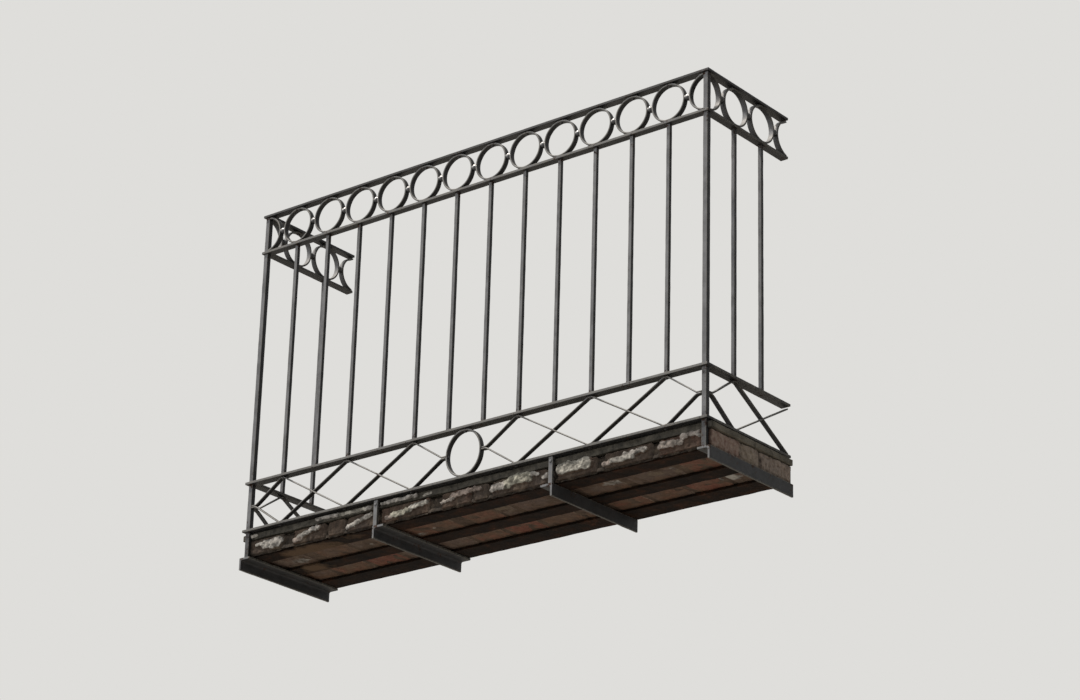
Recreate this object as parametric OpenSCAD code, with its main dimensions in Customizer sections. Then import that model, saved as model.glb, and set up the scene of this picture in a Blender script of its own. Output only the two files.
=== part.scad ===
// Wrought iron balcony on a small brick deck, cut off at the wall that carries it.
// Axes: X along the facade, Y into the wall, Z up. The wall plane is y = 0, and the
// railing stands at negative y. The origin lies on the back face of the wall angle,
// half way along the balcony.

/* [Layout] */
// Spacing of the upright bars, which also sets the rings and the lattice
bar_pitch = 130; // [120:2:140]
// Full crosses in the lattice on each side of the medallion
crosses_per_side = 2; // [1:1:3]
// How far the railing stands out, from the wall to the middle of the posts
projection = 380; // [345:5:385]

/* [Heights] */
// Clear height of the lattice band, between its two rails
lattice_h = 144; // [120:2:170]
// Clear height of the upright bars, between their two rails
bars_h = 754; // [640:2:860]
// Clear height of the ring band, which the rings fill
frieze_h = 116; // [100:1:118]

/* [Flat bars] */
// Thickness of all four rails
rail_t = 8; // [6:0.5:10]
// Width of the top rail
top_rail_w = 28; // [26:1:40]
// Width of the rail under the rings
frieze_rail_w = 26; // [24:1:36]
// Width of the two rails of the lattice
lattice_rail_w = 32; // [26:1:40]
// Side of the square upright bars
bar_side = 12; // [10:0.5:14]
// Side of the square corner posts
post_side = 16; // [14:0.5:20]

/* [Ring band] */
// Thickness of the flat iron that the rings are bent from
ring_t = 6; // [4:0.5:8]
// Width of the flat iron that the rings are bent from
ring_w = 18; // [14:1:22]
// Diameter of the balls between the rings
ball_d = 20; // [18:0.5:26]

/* [Lattice band] */
// Thickness of the lattice flats
lattice_t = 5; // [4:0.5:6]
// Width of the lattice flats
lattice_w = 16; // [12:1:20]
// Length of the flat where a lattice bar bends on a rail
lattice_foot = 12; // [8:1:16]
// Length of the level end where two lattice bars meet a post or the medallion
lattice_end = 18; // [10:1:26]
// Width of the oval medallion
medallion_w = 132; // [118:1:144]

/* [Deck] */
// Thickness of the cement layer that is walked on
topping_t = 18; // [14:1:30]
// Thickness of the brick course
brick_t = 46; // [36:1:60]
// Width of a joint between bricks
brick_joint = 10; // [6:1:14]
// Depth that the joints are washed out at the front edge
joint_recess = 9; // [4:1:14]
// Radius that the bricks' front corners are worn to
brick_nose_r = 13; // [6:1:18]
// Gap between the deck and the bottom rail
deck_gap = 6; // [4:1:14]

/* [Iron under the deck] */
// Width of the two flat cross bars that carry the bricks
cross_bar_w = 60; // [50:1:80]
// Width of the level leg of the wall angle, which carries the bricks' back ends
wall_leg_w = 75; // [55:1:90]
// Distance from the bricks' worn fronts back to the first cross bar
cross_bar_inset = 14; // [8:1:24]
// Thickness of the cross bars and of the wall angle
cross_bar_t = 8; // [6:0.5:10]
// Width of the level leg of the four angle beams, on which the posts and straps stand
beam_leg_w = 42; // [38:1:60]
// Height of the four angle beams
beam_h = 38; // [32:1:60]
// Thickness of both legs of the angle beams
beam_t = 7; // [5:0.5:9]
// Thickness of the two straps that stand on the inner beams, in front of the deck
strap_t = 10; // [6:0.5:12]

/* [Hidden] */
$fn = 64;
iron = [0.13, 0.13, 0.14];
rusty_iron = [0.22, 0.17, 0.14];
brick = [0.52, 0.30, 0.22];
cement = [0.62, 0.60, 0.55];

// Plan: the post axes and the number of bar spaces
front_spaces = 2 * (2 * crosses_per_side + 2) + 1;
half_w = front_spaces * bar_pitch / 2;
front_y = -projection;
return_bars = 2;

// Levels, from the underside of the cross bars up to the top rail
bars_z0 = -22;
bars_z1 = bars_z0 + cross_bar_t;
brick_z1 = bars_z1 + brick_t;
deck_z = brick_z1 + topping_t;
bottom_z = deck_z + deck_gap;
lattice_z0 = bottom_z + rail_t;
lattice_z1 = lattice_z0 + lattice_h;
bars_foot = lattice_z1 + rail_t;
bars_head = bars_foot + bars_h;
frieze_z0 = bars_head + rail_t;
frieze_z1 = frieze_z0 + frieze_h;

// Deck outline
deck_half_w = half_w + 23;
deck_front = front_y - 2;
cross_front_y = deck_front + cross_bar_inset;
// The middle cross bar lies half way between the middles of the front one and the angle's leg
cross_middle_y = (cross_front_y - wall_leg_w / 2 - cross_bar_w / 2) / 2;
// The rings are pressed a little flat where they touch the rails
ring_press = 0.3;
ring_r = frieze_h / 2 + ring_press;
medallion_sides = 64;

function at_space(k) = (k - front_spaces / 2) * bar_pitch;

// The straps stand under the last cross before the medallion, and the inner beams' upright
// legs are flush with them. The outer beams' upright legs are flush with the deck's sides.
strap_x = at_space(front_spaces - 2 * crosses_per_side);
inner_beam_x = strap_x + post_side / 2;
beam_end = deck_front - strap_t;

// Broken places along the front edge of the cement layer:
// [place along the front as a share of its width, length of the break, depth of the break]
edge_breaks = [
    [0.03, 70, 3], [0.105, 120, 5], [0.17, 80, 3], [0.225, 60, 2],
    [0.41, 90, 4], [0.475, 110, 6], [0.55, 100, 3], [0.62, 140, 5],
    [0.70, 80, 3], [0.77, 120, 5], [0.85, 90, 6], [0.92, 110, 3], [0.97, 60, 5],
];
break_sides = 240;

// Puts a piece drawn for the front's plane, with x along it and y into the wall, on a return:
// side is -1 for the left return and 1 for the right one, and x then runs to the wall.
module on_return(side) {
    translate([side * half_w, front_y, 0])
        mirror([side > 0 ? 0 : 1, 0, 0])
            multmatrix([[0, 1, 0, 0], [1, 0, 0, 0], [0, 0, 1, 0], [0, 0, 0, 1]])
                mirror([0, 1, 0])
                    children();
}

// A flat rail along the front, punched for the two posts where they pass through it
module front_rail(w, z, punched) {
    color(iron)
        difference() {
            translate([-half_w - w / 2, front_y - w / 2, z])
                cube([2 * half_w + w, w, rail_t]);
            if (punched)
                for (side = [-1, 1])
                    translate([side * half_w - post_side / 2, front_y - post_side / 2, z - 1])
                        cube([post_side, post_side, rail_t + 2]);
        }
}

// A flat rail on a return, from the back edge of the front rail to the wall
module side_rail(side, w, z) {
    color(iron)
        translate([side * half_w - w / 2, front_y + w / 2, z])
            cube([w, projection - w / 2, rail_t]);
}

// The ring band

// One ring of flat iron on edge, about the origin of the band's plane
module ring() {
    rotate([90, 0, 0])
        difference() {
            cylinder(r = ring_r, h = ring_w, center = true);
            cylinder(r = ring_r - ring_t, h = ring_w + 2, center = true);
        }
}

// Rings at whole spaces, pressed flat on the rails and cut at x0 and x1.
// x is counted from the axis of the first post.
module ring_run(last_space, x0, x1) {
    color(iron)
        translate([0, 0, (frieze_z0 + frieze_z1) / 2])
            intersection() {
                for (k = [0 : last_space])
                    translate([k * bar_pitch, 0, 0])
                        ring();
                translate([x0, -ring_w, -frieze_h / 2])
                    cube([x1 - x0, 2 * ring_w, frieze_h]);
            }
}

// Balls at half spaces, each with two flats where the rings beside it bear on it
module ball_run(count) {
    seat = bar_pitch - 2 * ring_r;
    color(iron)
        for (k = [0 : count - 1])
            translate([(k + 0.5) * bar_pitch, 0, (frieze_z0 + frieze_z1) / 2])
                rotate([0, 90, 0])
                    intersection() {
                        sphere(d = ball_d, $fn = 32);
                        cube([2 * ball_d, 2 * ball_d, seat], center = true);
                    }
}

module ring_frieze_front() {
    translate([-half_w, front_y, 0])
        ring_run(front_spaces, post_side / 2, 2 * half_w - post_side / 2);
}

module ring_frieze_side(side) {
    on_return(side)
        ring_run(return_bars + 1, post_side / 2, projection);
}

module frieze_balls_front() {
    translate([-half_w, front_y, 0])
        ball_run(front_spaces);
}

module frieze_balls_side(side) {
    on_return(side)
        ball_run(return_bars + 1);
}

// The upright bars

module balusters(from, to) {
    color(iron)
        for (k = [from : to])
            translate([at_space(k) - bar_side / 2, front_y - bar_side / 2, bars_foot])
                cube([bar_side, bar_side, bars_h]);
}

module balusters_side(side) {
    color(iron)
        for (k = [1 : return_bars])
            translate([side * half_w - bar_side / 2, front_y + k * bar_pitch - bar_side / 2, bars_foot])
                cube([bar_side, bar_side, bars_h]);
}

// A post stands on the head of an outer beam, passes through three rails and carries the top rail
module corner_post(side) {
    color(iron)
        translate([side * half_w - post_side / 2, front_y - post_side / 2, bars_z0])
            cube([post_side, post_side, frieze_z1 - bars_z0]);
}

// The lattice band

function unit(v) = v / norm(v);
function left_of(a, b) = let (d = unit(b - a)) [-d[1], d[0]];

// The mitred offset of point i of a path, h to its left
function mitre(path, i, h) =
    let (last = len(path) - 1,
         n0 = left_of(path[max(i - 1, 0)], path[max(i, 1)]),
         n1 = left_of(path[min(i, last - 1)], path[min(i + 1, last)]))
    h * (n0 + n1) / (1 + n0 * n1);

// The outline of a flat bar of thickness t that is bent along a path
function bent_bar(path, t) = concat(
    [for (i = [0 : len(path) - 1]) path[i] + mitre(path, i, t / 2)],
    [for (i = [len(path) - 1 : -1 : 0]) path[i] - mitre(path, i, t / 2)]
);

// The middle line of a lattice bar that starts level at x0, touches the rails at every odd
// space and ends level at x1. up is 1 for the bar that rises first and -1 for the other one.
function lattice_path(x0, x1, spaces, up) =
    let (reach = lattice_h / 2 - lattice_t / 2,
         low = up * lattice_t / 2,
         end_up = up * (len(spaces) % 2 == 1 ? 1 : -1))
    concat(
        [[x0, low], [x0 + lattice_end, low]],
        [for (i = [0 : len(spaces) - 1], side = [-1, 1])
            [spaces[i] * bar_pitch + side * lattice_foot / 2, up * (i % 2 == 0 ? 1 : -1) * reach]],
        [[x1 - lattice_end, end_up * lattice_t / 2], [x1, end_up * lattice_t / 2]]
    );

// Two bent bars that cross, standing on edge in the band's plane
module lattice_pair(paths) {
    color(iron)
        translate([0, lattice_w / 2, (lattice_z0 + lattice_z1) / 2])
            rotate([90, 0, 0])
                linear_extrude(lattice_w)
                    for (path = paths)
                        polygon(bent_bar(path, lattice_t));
}

// From the left post to the medallion; the right half is its mirror image
module lattice_front(side) {
    feet = [for (i = [0 : crosses_per_side]) 2 * i + 1];
    x1 = half_w - medallion_w / 2;
    mirror([side > 0 ? 1 : 0, 0, 0])
        translate([-half_w, front_y, 0])
            lattice_pair([for (up = [-1, 1]) lattice_path(post_side / 2, x1, feet, up)]);
}

// The oval ring in the middle of the front, which both lattice halves run into
module lattice_medallion() {
    step = 360 / medallion_sides;
    a = medallion_w / 2;
    b = lattice_h / 2;
    outer = [for (i = [0 : medallion_sides - 1]) let (t = (i + 0.5) * step)
        [a * cos(t), b * sin(t)] / cos(step / 2)];
    inner = [for (i = [0 : medallion_sides - 1]) let (t = (i + 0.5) * step)
        [(a - ring_t) * cos(t), (b - ring_t) * sin(t)] / cos(step / 2)];
    color(iron)
        translate([0, front_y + ring_w / 2, (lattice_z0 + lattice_z1) / 2])
            rotate([90, 0, 0])
                linear_extrude(ring_w)
                    difference() {
                        polygon(outer);
                        polygon(inner);
                    }
}

// A half cross at the post and one cross behind it, cut off by the wall
module lattice_side(side) {
    far = (return_bars + 3) * bar_pitch;
    intersection() {
        on_return(side)
            lattice_pair([for (up = [-1, 1]) lattice_path(post_side / 2, far, [1, 3], up)]);
        translate([-2 * half_w, -projection, 0])
            cube([4 * half_w, projection, bars_head]);
    }
}

// The iron under the deck

// A strap from the end of an inner beam up to the bottom rail, in front of the deck
module beam_strap(side) {
    color(iron)
        translate([side * strap_x - post_side / 2, beam_end, bars_z0])
            cube([post_side, strap_t, bottom_z - bars_z0]);
}

// The section of a rolled angle: its corner is at the origin, one leg runs level to -x and
// one hangs down, and the root between them is round
module angle_section() {
    root_r = 5;
    translate([-beam_leg_w, -beam_t])
        square([beam_leg_w, beam_t]);
    translate([-beam_t, -beam_h])
        square([beam_t, beam_h]);
    difference() {
        translate([-beam_t - root_r, -beam_t - root_r])
            square([beam_t + root_r, root_r]);
        translate([-beam_t - root_r, -beam_t - root_r])
            circle(r = root_r, $fn = 32);
    }
}

// A beam from the wall to the front, with its upright leg's outer face at x on the given side
module angle_beam(side, x) {
    color(iron)
        mirror([side > 0 ? 0 : 1, 0, 0])
            translate([x, 0, bars_z0])
                rotate([90, 0, 0])
                    linear_extrude(-beam_end)
                        angle_section();
}

// A flat bar that lies across the four beams
module cross_bar(y0) {
    color(rusty_iron)
        translate([-deck_half_w, y0, bars_z0])
            cube([2 * deck_half_w, cross_bar_w, cross_bar_t]);
}

// The last cross bar is an angle: its upright leg lies flat against the wall
module wall_angle() {
    color(rusty_iron)
        rotate([90, 0, 90])
            linear_extrude(2 * deck_half_w, center = true)
                polygon([
                    [0, bars_z0], [0, brick_z1], [-cross_bar_t, brick_z1],
                    [-cross_bar_t, bars_z1], [-wall_leg_w, bars_z1], [-wall_leg_w, bars_z0],
                ]);
}

// The brick course

// One brick seen from above, from the wall angle to the front, with worn front corners
module brick_plan(w) {
    len = -deck_front - cross_bar_t;
    translate([0, -cross_bar_t - len + brick_nose_r])
        square([w, len - brick_nose_r]);
    translate([brick_nose_r, -cross_bar_t - len])
        square([w - 2 * brick_nose_r, brick_nose_r]);
    for (x = [brick_nose_r, w - brick_nose_r])
        translate([x, -cross_bar_t - len + brick_nose_r])
            circle(r = brick_nose_r, $fn = 32);
}

// The bricks of one bay, bedded in mortar that is washed out at the front
module brick_bay(x0, x1) {
    count = round((x1 - x0) / bar_pitch);
    each_w = (x1 - x0) / count;
    color(brick)
        difference() {
            union() {
                translate([x0, deck_front + joint_recess, bars_z1 + 3])
                    cube([x1 - x0, -deck_front - joint_recess - cross_bar_t, brick_t - 3]);
                for (i = [0 : count - 1])
                    translate([x0 + i * each_w + brick_joint / 2, 0, bars_z1])
                        linear_extrude(brick_t)
                            brick_plan(each_w - brick_joint);
            }
            post_notches();
        }
}

// The room that the two posts take at the front corners of the deck
module post_notches() {
    for (side = [-1, 1])
        translate([side * half_w - post_side / 2, front_y - post_side, bars_z0 - 1])
            cube([post_side, 1.5 * post_side, deck_z - bars_z0 + 2]);
}

// The cement layer, whose front edge has broken away in places
module deck_topping() {
    color(cement)
        difference() {
            translate([-deck_half_w, deck_front, brick_z1])
                cube([2 * deck_half_w, -deck_front, topping_t]);
            for (b = edge_breaks)
                let (r = (b[1] * b[1] / 4 + b[2] * b[2]) / (2 * b[2]))
                    translate([(2 * b[0] - 1) * deck_half_w, deck_front + b[2] - r, brick_z1 - 1])
                        cylinder(r = r, h = topping_t + 2, $fn = break_sides);
            post_notches();
        }
}

front_rail(top_rail_w, frieze_z1, false);  // top_rail_front
side_rail(-1, top_rail_w, frieze_z1);  // top_rail_left
side_rail(1, top_rail_w, frieze_z1);  // top_rail_right
front_rail(frieze_rail_w, bars_head, true);  // frieze_rail_front
side_rail(-1, frieze_rail_w, bars_head);  // frieze_rail_left
side_rail(1, frieze_rail_w, bars_head);  // frieze_rail_right
ring_frieze_front();
ring_frieze_side(-1);  // ring_frieze_left
ring_frieze_side(1);  // ring_frieze_right
frieze_balls_front();
frieze_balls_side(-1);  // frieze_balls_left
frieze_balls_side(1);  // frieze_balls_right
front_rail(lattice_rail_w, lattice_z1, true);  // lattice_rail_front
side_rail(-1, lattice_rail_w, lattice_z1);  // lattice_rail_left
side_rail(1, lattice_rail_w, lattice_z1);  // lattice_rail_right
front_rail(lattice_rail_w, bottom_z, true);  // bottom_rail_front
side_rail(-1, lattice_rail_w, bottom_z);  // bottom_rail_left
side_rail(1, lattice_rail_w, bottom_z);  // bottom_rail_right
corner_post(-1);  // corner_post_left
corner_post(1);  // corner_post_right
balusters(1, (front_spaces - 1) / 2);  // balusters_front_left
balusters((front_spaces + 1) / 2, front_spaces - 1);  // balusters_front_right
balusters_side(-1);  // balusters_left
balusters_side(1);  // balusters_right
lattice_front(-1);  // lattice_front_left
lattice_front(1);  // lattice_front_right
lattice_medallion();
lattice_side(-1);  // lattice_left
lattice_side(1);  // lattice_right
beam_strap(-1);  // beam_strap_left
beam_strap(1);  // beam_strap_right
angle_beam(-1, deck_half_w);  // angle_beam_outer_left
angle_beam(-1, inner_beam_x);  // angle_beam_inner_left
angle_beam(1, inner_beam_x);  // angle_beam_inner_right
angle_beam(1, deck_half_w);  // angle_beam_outer_right
cross_bar(cross_front_y);  // cross_bar_front
cross_bar(cross_middle_y);  // cross_bar_middle
wall_angle();
brick_bay(-deck_half_w, -strap_x);  // brick_bay_left
brick_bay(-strap_x, strap_x);  // brick_bay_middle
brick_bay(strap_x, deck_half_w);  // brick_bay_right
deck_topping();
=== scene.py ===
from functools import partial

import bpy
import numpy as np
from mathutils import Matrix


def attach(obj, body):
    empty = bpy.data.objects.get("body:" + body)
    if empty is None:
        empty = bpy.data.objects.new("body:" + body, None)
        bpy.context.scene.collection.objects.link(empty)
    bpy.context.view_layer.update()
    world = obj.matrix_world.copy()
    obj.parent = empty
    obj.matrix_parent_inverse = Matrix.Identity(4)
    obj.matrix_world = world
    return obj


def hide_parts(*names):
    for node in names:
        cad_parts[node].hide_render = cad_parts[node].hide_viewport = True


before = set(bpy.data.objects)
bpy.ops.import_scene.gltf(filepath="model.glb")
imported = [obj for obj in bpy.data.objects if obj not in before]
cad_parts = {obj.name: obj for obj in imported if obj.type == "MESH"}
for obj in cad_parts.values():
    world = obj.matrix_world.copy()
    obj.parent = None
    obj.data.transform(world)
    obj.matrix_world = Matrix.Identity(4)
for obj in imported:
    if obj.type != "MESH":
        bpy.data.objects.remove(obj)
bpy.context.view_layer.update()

# -------- Street, camera and light
# The balcony hangs about a storey above a pale street. It is looked at from the pavement, to
# the right of it. A steep key light and a soft low one, both from the left of the front, fall
# on it, and an even pale sky fills in.

STREET_Z, STREET_HALF = -4.3, 60.0
EYE = (5.17531, -6.33975, -2.72187)
EYE_RIGHT = (0.77820, 0.62749, 0.02572)
EYE_UP = (0.21622, -0.30616, 0.92710)
EYE_BACK = (0.58962, -0.71591, -0.37393)
PHOTO_WIDTH, FOCAL_PIXELS, SENSOR = 1080, 2945.66, 36.0
SKY_FILL, SKY_SEEN = 0.22, 1.0
# Where each light comes from, its strength, its spread in radians and its colour
LIGHTS = {
    "steep_key": ((-1.0, -0.85, 2.6), 3.6, 0.07, "#fff5e8"),
    "low_front_fill": ((-0.5, -1.0, 0.45), 1.6, 0.8, "#fdfaf5"),
}


def linear(code):
    """The sRGB hex code as linear RGBA: each channel c becomes ((c + 0.055) / 1.055) ** 2.4."""
    parts = [int(code[i:i + 2], 16) / 255 for i in (1, 3, 5)]
    return [c / 12.92 if c <= 0.04045 else ((c + 0.055) / 1.055) ** 2.4 for c in parts] + [1.0]


def plug(node, values):
    """Sets a node's sockets, with a hex code as linear RGBA, or links them to an output, or to
    the first output in use of another node."""
    for key, value in values.items():
        if isinstance(value, bpy.types.Node):
            value = next(output for output in value.outputs if output.enabled)
        if isinstance(value, bpy.types.NodeSocket):
            node.id_data.links.new(value, node.inputs[key])
        else:
            node.inputs[key].default_value = linear(value) if isinstance(value, str) else value


def add(tree, kind, *inputs, stops=(), **settings):
    """Adds a node. The settings go to its properties, or to its sockets of that name, and the
    inputs to its sockets in use, in their order: a Map Range has its value, from and to. The
    stops are the positions and colours of its ramp."""
    made = tree.nodes.new("ShaderNode" + kind)
    for key, value in settings.items():
        if hasattr(made, key):
            setattr(made, key, value)
        else:
            plug(made, {key: value})
    plug(made, dict(zip([i for i, socket in enumerate(made.inputs) if socket.enabled], inputs)))
    for _ in stops[2:]:
        made.color_ramp.elements.new(1.0)
    for i, (position, colour) in enumerate(stops):
        stop = made.color_ramp.elements[i]
        stop.position, stop.color = position, linear(colour)
    return made


def finish(name):
    """A new material, with add for its own tree, and its Principled shader."""
    material = bpy.data.materials.new(name)
    material.use_nodes = True
    tree = material.node_tree
    return material, partial(add, tree), tree.nodes["Principled BSDF"]


def unit(vectors):
    """The vectors, each divided by its length."""
    return vectors / np.linalg.norm(vectors, axis=-1, keepdims=True)


def show(name, data, *axes):
    """Puts an object in the scene. The axes, if any, are its right, up and back and its place."""
    made = bpy.data.objects.new(name, data)
    if axes:
        made.matrix_world = Matrix([*zip(*axes), (0, 0, 0, 1)])
    scene.collection.objects.link(made)
    return made


scene = bpy.context.scene
scene.view_settings.view_transform = "Standard"

world = bpy.data.worlds.new("pale_sky")
world.use_nodes = True
sky = world.node_tree
sky.nodes.clear()
rays = add(sky, "LightPath").outputs
direct = add(sky, "Math", rays["Is Camera Ray"], rays["Is Transmission Ray"],
             operation="MAXIMUM")
direct = add(sky, "Math", direct, rays["Is Glossy Ray"], operation="MAXIMUM")
lit = add(sky, "Background", "#e2e8ef", SKY_FILL)
shown = add(sky, "Background", "#dfdedb", SKY_SEEN)
add(sky, "OutputWorld", add(sky, "MixShader", direct, lit, shown))
scene.world = world

for name, (source, strength, spread, colour) in LIGHTS.items():
    light = bpy.data.lights.new(name, "SUN")
    light.energy, light.angle, light.color = strength, spread, linear(colour)[:3]
    back = unit(np.array(source))
    right = unit(np.cross((0, 0, 1), back))
    show(name, light, right, np.cross(back, right), back, 4 * back)

lens = bpy.data.cameras.new("pavement_view")
lens.sensor_width, lens.lens = SENSOR, FOCAL_PIXELS * SENSOR / PHOTO_WIDTH
scene.camera = show("pavement_view", lens, EYE_RIGHT, EYE_UP, EYE_BACK, EYE)

# The paving is seen pale, and sends as much light back up as a worn street does.
paving, node, shader = finish("pale_paving")
bounced = node("Mix", node("LightPath").outputs["Is Diffuse Ray"], "#bfbdb8", "#7d7a75",
               data_type="RGBA")
plug(shader, {"Base Color": bounced, "Roughness": 0.9})
street_mesh = bpy.data.meshes.new("street")
street_mesh.from_pydata([(x * STREET_HALF, y * STREET_HALF, STREET_Z)
                         for x, y in ((-1, -1), (1, -1), (1, 1), (-1, 1))], [], [(0, 1, 2, 3)])
street_mesh.materials.append(paving)
street = show("street", street_mesh)

# -------- Rails
# Four levels of wrought flat bar, each with a front and two returns that butt against it and
# are built in at the back. The arrises are rounded by the rolls and many coats of oil paint.

PITCH, HALF_W, FRONT_Y = 0.130, 0.845, -0.380
TOP_RAIL_W, FRIEZE_RAIL_W, LATTICE_RAIL_W, RAIL_T = 0.028, 0.026, 0.032, 0.008
BOTTOM_Z, LATTICE_Z1, BARS_HEAD, FRIEZE_Z1 = 0.056, 0.208, 0.970, 1.094
# Bars are drawn a little thinner than their solids, dented by the hammer and dressed at the ends
SLACK, HAMMER_DENT, END_R = 0.0002, 0.00035, 0.0006
X, Y, Z = np.eye(3)
SIDES = ((-1, "left"), (1, "right"))


def lumps(points, size, seed, octaves=2):
    """Smooth noise, mostly from -1 to 1: random numbers on a cubic lattice of the given size,
    blended between its eight corners by 3t^2 - 2t^3. Each octave halves the size and the
    weight."""
    total = 0.0
    for octave in range(octaves):
        q = points / size * 2 ** octave + 31.7 * seed + 5.3 * octave
        cell = np.floor(q).astype(np.int64)
        t = q - cell
        t = t * t * (3 - 2 * t)
        value = 0.0
        for corner in np.ndindex(2, 2, 2):
            c = cell + corner
            mixed = (c[..., 0] * 73856093) ^ (c[..., 1] * 19349663) ^ (c[..., 2] * 83492791)
            mixed = ((mixed ^ (mixed >> 13)) * 1274126177) & 0xFFFFFFFF
            drawn = ((mixed ^ (mixed >> 16)) & 0xFFFF) / 32767.5 - 1
            value = value + np.prod(np.where(corner, t, 1 - t), axis=-1) * drawn
        total = total + value * 0.5 ** octave
    return total / (2 - 0.5 ** (octaves - 1)) * 1.5


def outline(corners, radii, step=0.001, arc=3):
    """The section of a bar: straight sides through the corners, each corner rounded by an arc
    tangent to both sides, and sides split into lengths of at most step. Gives the points,
    their outward normals, and 1 on outer corners."""
    corners = np.asarray(corners, float)
    radii, step = np.broadcast_to(radii, len(corners)), np.broadcast_to(step, len(corners))
    along = unit(np.roll(corners, -1, 0) - corners)
    out = np.stack([along[:, 1], -along[:, 0]], 1)
    arcs = []
    for i, corner in enumerate(corners):
        n0, n1 = out[i - 1], out[i]
        turn = np.arctan2(n0[0] * n1[1] - n0[1] * n1[0], n0 @ n1)
        s = np.sign(turn)
        centre = corner - s * radii[i] * (n0 + n1) / (1 + n0 @ n1)
        angle = np.arctan2(n0[1], n0[0]) + turn * np.linspace(0, 1, arc + 1)
        normals = np.stack([np.cos(angle), np.sin(angle)], 1)
        arcs.append((centre + s * radii[i] * normals, normals, np.full(arc + 1, float(s > 0))))
    parts = []
    for i, (p, n, outer) in enumerate(arcs):
        q = arcs[(i + 1) % len(arcs)][0][0]
        count = max(1, int(np.ceil(np.linalg.norm(q - p[-1]) / step[i])))
        t = np.linspace(0, 1, count + 1)[1:-1, None]
        parts += [(p, n, outer),
                  (p[-1] * (1 - t) + q * t, np.repeat(n[-1:], len(t), 0), np.zeros(len(t)))]
    return [np.concatenate(values) for values in zip(*parts)]


def flat_section(w, h, r, step=0.001):
    """The outline of a flat or square bar, w along the first axis and h along the second."""
    return outline([(-w / 2, -h / 2), (w / 2, -h / 2), (w / 2, h / 2), (-w / 2, h / 2)], r, step)


def stations(length, step, end_r):
    """Distances along a bar: end_r * (1 - cos a) with even steps of a over each rounded end,
    then even steps."""
    count = max(3, int(end_r / step) + 2)
    near = end_r * (1 - np.cos(np.linspace(0, np.pi / 2, count + 1)[:-1]))
    inner = np.linspace(end_r, length - end_r, max(2, int(np.ceil(length / step))))
    return np.concatenate([near, inner, length - near[::-1]])


def skin(grid, hubs=None, loop=False):
    """Closes a grid of rings of points: four-sided faces between the rings, and a fan from a
    hub at each end, or the first ring again where the path is a loop. Where the sum of
    p0 . (p1 x p2) over the faces is negative, all are turned over, so that they face out."""
    n, m = grid.shape[:2]
    rows, columns = np.arange(n if loop else n - 1)[:, None], np.arange(m)[None]
    beside, above = (columns + 1) % m, (rows + 1) % n
    quads = np.stack([rows * m + columns, rows * m + beside, above * m + beside,
                      above * m + columns], -1).reshape(-1, 4)
    points, triangles = grid.reshape(-1, 3), np.zeros((0, 3), int)
    if not loop:
        points = np.concatenate([points, (grid[0].mean(0), grid[-1].mean(0))
                                 if hubs is None else hubs])
        here, after, last = np.arange(m), (np.arange(m) + 1) % m, (n - 1) * m
        triangles = np.concatenate([
            np.stack([np.full(m, n * m), after, here], 1),
            np.stack([np.full(m, n * m + 1), last + here, last + after], 1)])
    p = points[np.concatenate([quads[:, :3], quads[:, [0, 2, 3]], triangles])] - points[0]
    if np.sum(p[:, 0] * np.cross(p[:, 1], p[:, 2])) < 0:
        quads, triangles = quads[:, ::-1], triangles[:, ::-1]
    return {"points": points, "quads": quads, "triangles": triangles,
            "edge": np.zeros(len(points)), "tone": np.zeros(len(points))}


def carry(section, spine, across, up, end_r=0.0, loop=False, dent=HAMMER_DENT, dent_size=0.02,
          seed=1, hub=None):
    """Carries a section along a spine: point = spine + u * across + v * up. At an end that is
    rounded by end_r the section is inset by end_r - sqrt(end_r^2 - (end_r - d)^2), d being the
    distance to the end. The surface is then pushed inwards by 0 to dent, by smooth noise."""
    flat, out, edge = section
    n = len(spine)
    across, up = (np.broadcast_to(axis, (n, 3))[:, None] for axis in (across, up))
    run = np.concatenate([[0], np.cumsum(np.linalg.norm(np.diff(spine, axis=0), axis=1))])
    inset = np.zeros(n)
    if end_r and not loop:
        d = np.clip(np.minimum(run, run[-1] - run), 0, end_r)
        inset = end_r - np.sqrt(np.maximum(end_r ** 2 - (end_r - d) ** 2, 0))
    local = flat - inset[:, None, None] * out
    grid = spine[:, None] + local[..., :1] * across + local[..., 1:] * up
    if dent:
        depth = dent * (0.5 + 0.5 * np.clip(lumps(grid, dent_size, seed), -1, 1))
        grid = grid - (out[:, :1] * across + out[:, 1:] * up) * depth[..., None]
    hubs = hub and [spine[i] + hub[0] * across[i, 0] + hub[1] * up[i, 0] for i in (0, -1)]
    shape = skin(grid, hubs, loop)
    shape["edge"][:n * len(flat)] = np.tile(edge, n)
    return shape


def straight(section, start, end, across, up, step=0.012, end_r=0.001, **how):
    """A section carried along a straight line from start to end."""
    start, end = np.asarray(start, float), np.asarray(end, float)
    length = np.linalg.norm(end - start)
    s = stations(length, step, end_r)[:, None] / length
    return carry(section, start + s * (end - start), across, up, end_r=end_r, **how)


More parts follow.
